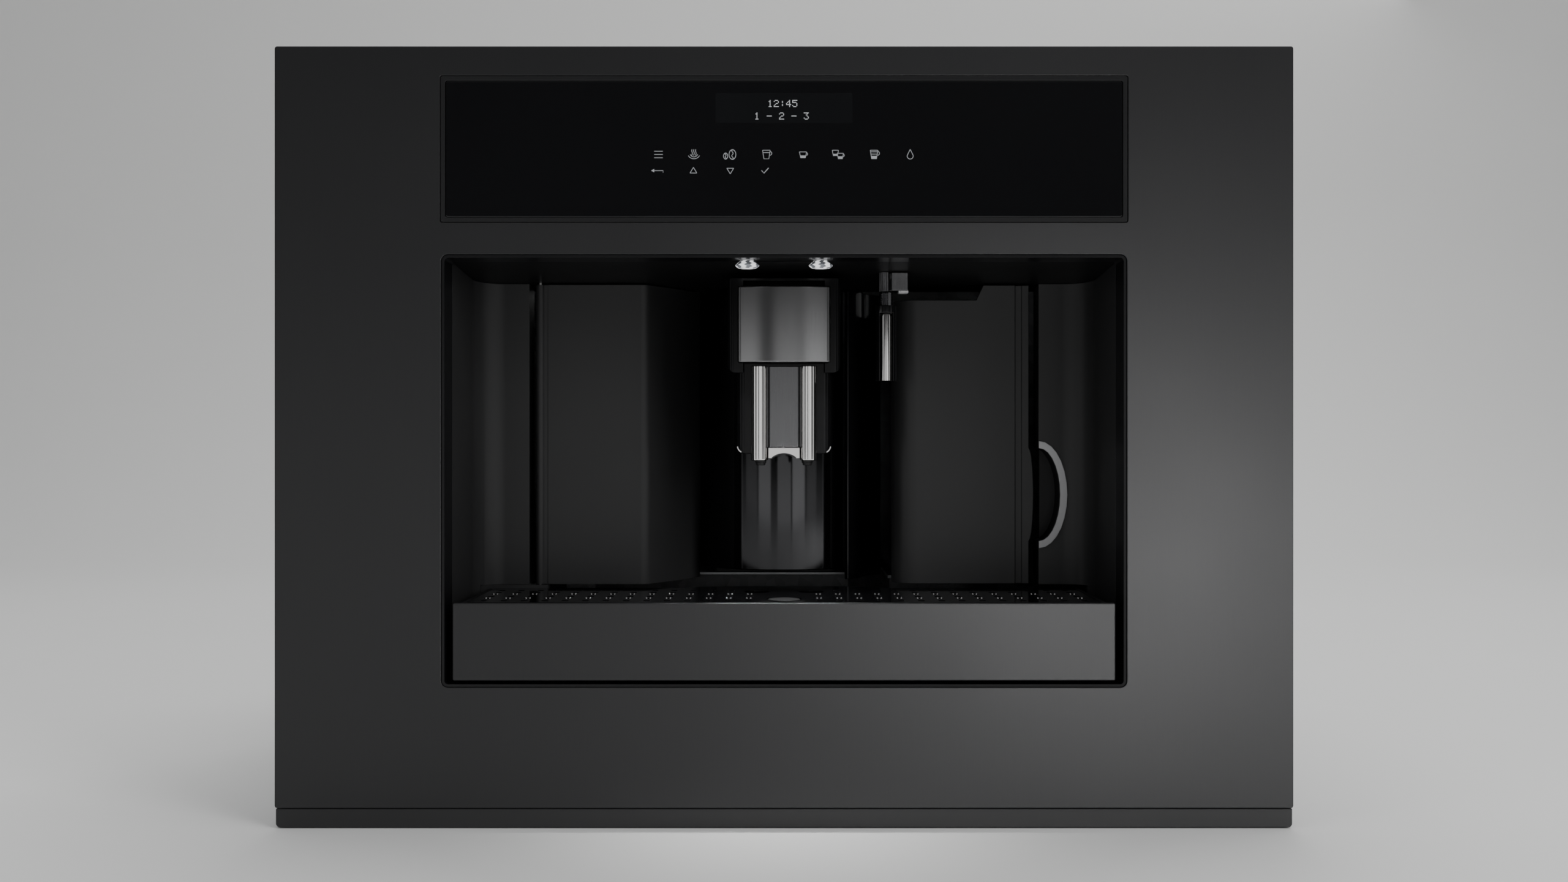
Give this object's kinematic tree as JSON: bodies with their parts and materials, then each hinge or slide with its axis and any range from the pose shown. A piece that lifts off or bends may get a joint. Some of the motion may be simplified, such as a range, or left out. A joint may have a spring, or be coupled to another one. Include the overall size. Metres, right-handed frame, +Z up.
{
  "type": "built in coffee machine",
  "caption": "Built-in coffee machine for a cabinet niche, with a touch display, height-adjustable spout on a service door, water tank, drip tray and pull-out slides.",
  "frame": {"origin": "centre of the bounding box's footprint, on the niche floor", "axes": "+X to the right seen from the front, +Y from the front panel to the back, +Z up"},
  "size_m": [0.595, 0.412, 0.4564],
  "materials": {
    "panel_paint": "dark anthracite satin coating on steel",
    "satin_black": "fine satin moulded plastic",
    "gloss_black": "high gloss moulded plastic",
    "brushed_steel": "fine brushed",
    "chrome": "polished",
    "silver_plastic": "satin silver paint",
    "lamp_glass": "faceted clear lens",
    "display_glass": "black glass with signs lit from behind",
    "zinc_sheet": "galvanised sheet",
    "smoked_clear": "smoked clear plastic",
    "circuit_board": "green laminate"
  },
  "bodies": {
    "cabinet": {"cabinet_rail_left": "zinc_sheet", "cabinet_rail_right": "zinc_sheet"},
    "slide_middle": {"middle_rail_left": "zinc_sheet", "middle_rail_right": "zinc_sheet"},
    "machine": {"front_panel": "panel_paint", "bottom_trim": "satin_black", "front_frame": "satin_black", "display_bezel": "panel_paint", "display_glass": "display_glass", "display_board": "circuit_board", "recess_lip": "gloss_black", "recess_ceiling": "gloss_black", "recess_floor": "satin_black", "cheek_left": "satin_black", "cheek_right": "satin_black", "finger_pocket": "satin_black", "grip_crescent": "silver_plastic", "lamp_lens_left": "lamp_glass", "lamp_lens_right": "lamp_glass", "hinge_pin_low": "chrome", "hinge_pin_high": "chrome", "hot_water_connector": "brushed_steel", "core_cover": "gloss_black", "tank_shelf": "zinc_sheet", "chassis_base": "zinc_sheet", "side_panel_left": "zinc_sheet", "side_panel_right": "zinc_sheet", "top_cover": "zinc_sheet", "rear_cover": "zinc_sheet", "mains_inlet": "gloss_black", "bean_hopper": "smoked_clear", "grinder": "zinc_sheet", "brewing_unit": "satin_black", "grounds_container": "satin_black", "inner_shelf": "zinc_sheet", "pump": "zinc_sheet", "boiler": "zinc_sheet", "power_board": "circuit_board"},
    "door": {"door_shell": "satin_black", "door_belly": "gloss_black", "spout_housing": "gloss_black", "spout_cover": "brushed_steel"},
    "spout": {"spout_body": "gloss_black", "spout_tube_left": "chrome", "spout_tube_right": "chrome", "spout_plate": "brushed_steel"},
    "hot_water": {"hot_water_sleeve": "gloss_black", "hot_water_tube": "chrome"},
    "tank": {"tank_front": "satin_black", "water_tank": "smoked_clear", "tank_lid": "satin_black"},
    "tray": {"drip_tray": "satin_black", "tray_front": "panel_paint"},
    "grid": {"drip_grid": "gloss_black"},
    "float": {"tray_float": "satin_black"},
    "switch": {"main_switch": "satin_black"},
    "hopper_lid": {"bean_lid": "satin_black"},
    "knob": {"grind_knob": "gloss_black"},
    "burr": {"lower_burr": "brushed_steel"},
    "piston": {"brew_piston": "brushed_steel"}
  },
  "joints": [
    {"name": "machine_slide", "type": "slide", "parent": "cabinet", "child": "machine", "axis": [0, -1, 0], "range_m": [0, 0.3]},
    {"name": "middle_slide", "type": "slide", "parent": "cabinet", "child": "slide_middle", "axis": [0, -1, 0], "range_m": [0, 0.15]},
    {"name": "service_door", "type": "hinge", "parent": "machine", "child": "door", "pos_m": [-0.1578, -0.108, 0.23], "axis": [0, 0, -1], "range_deg": [0, 95]},
    {"name": "spout_height", "type": "slide", "parent": "door", "child": "spout", "axis": [0, 0, 1], "range_m": [0, 0.048]},
    {"name": "hot_water_pull", "type": "slide", "parent": "machine", "child": "hot_water", "axis": [0, -1, 0], "range_m": [0, 0.035]},
    {"name": "water_tank_slide", "type": "slide", "parent": "machine", "child": "tank", "axis": [0, -1, 0], "range_m": [0, 0.31]},
    {"name": "drip_tray_slide", "type": "slide", "parent": "machine", "child": "tray", "axis": [0, -1, 0], "range_m": [0, 0.17]},
    {"name": "grid_lift", "type": "slide", "parent": "tray", "child": "grid", "axis": [0, 0, -1], "range_m": [-0.04, 0]},
    {"name": "float_rise", "type": "slide", "parent": "tray", "child": "float", "axis": [0, 0, 1], "range_m": [0, 0.009]},
    {"name": "bean_lid_hinge", "type": "hinge", "parent": "machine", "child": "hopper_lid", "pos_m": [-0.066, 0.17, 0.4403], "axis": [-1, 0, 0], "range_deg": [0, 85]},
    {"name": "grind_knob_turn", "type": "hinge", "parent": "machine", "child": "knob", "pos_m": [0.065, 0.044, 0.44], "axis": [0, 0, 1], "range_deg": [-75, 75]},
    {"name": "main_switch_rock", "type": "hinge", "parent": "machine", "child": "switch", "pos_m": [0.159, 0.199, 0.07], "axis": [1, 0, 0], "range_deg": [-8, 8]},
    {"name": "burr_spin", "type": "hinge", "parent": "machine", "child": "burr", "pos_m": [-0.066, 0.094, 0.3], "axis": [0, 0, 1], "continuous": true},
    {"name": "piston_stroke", "type": "slide", "parent": "machine", "child": "piston", "axis": [0, 0, -1], "range_m": [0, 0.03]}
  ],
  "couplings": [
    {"joint": "middle_slide", "follows": "machine_slide", "ratio": 0.5}
  ]
}
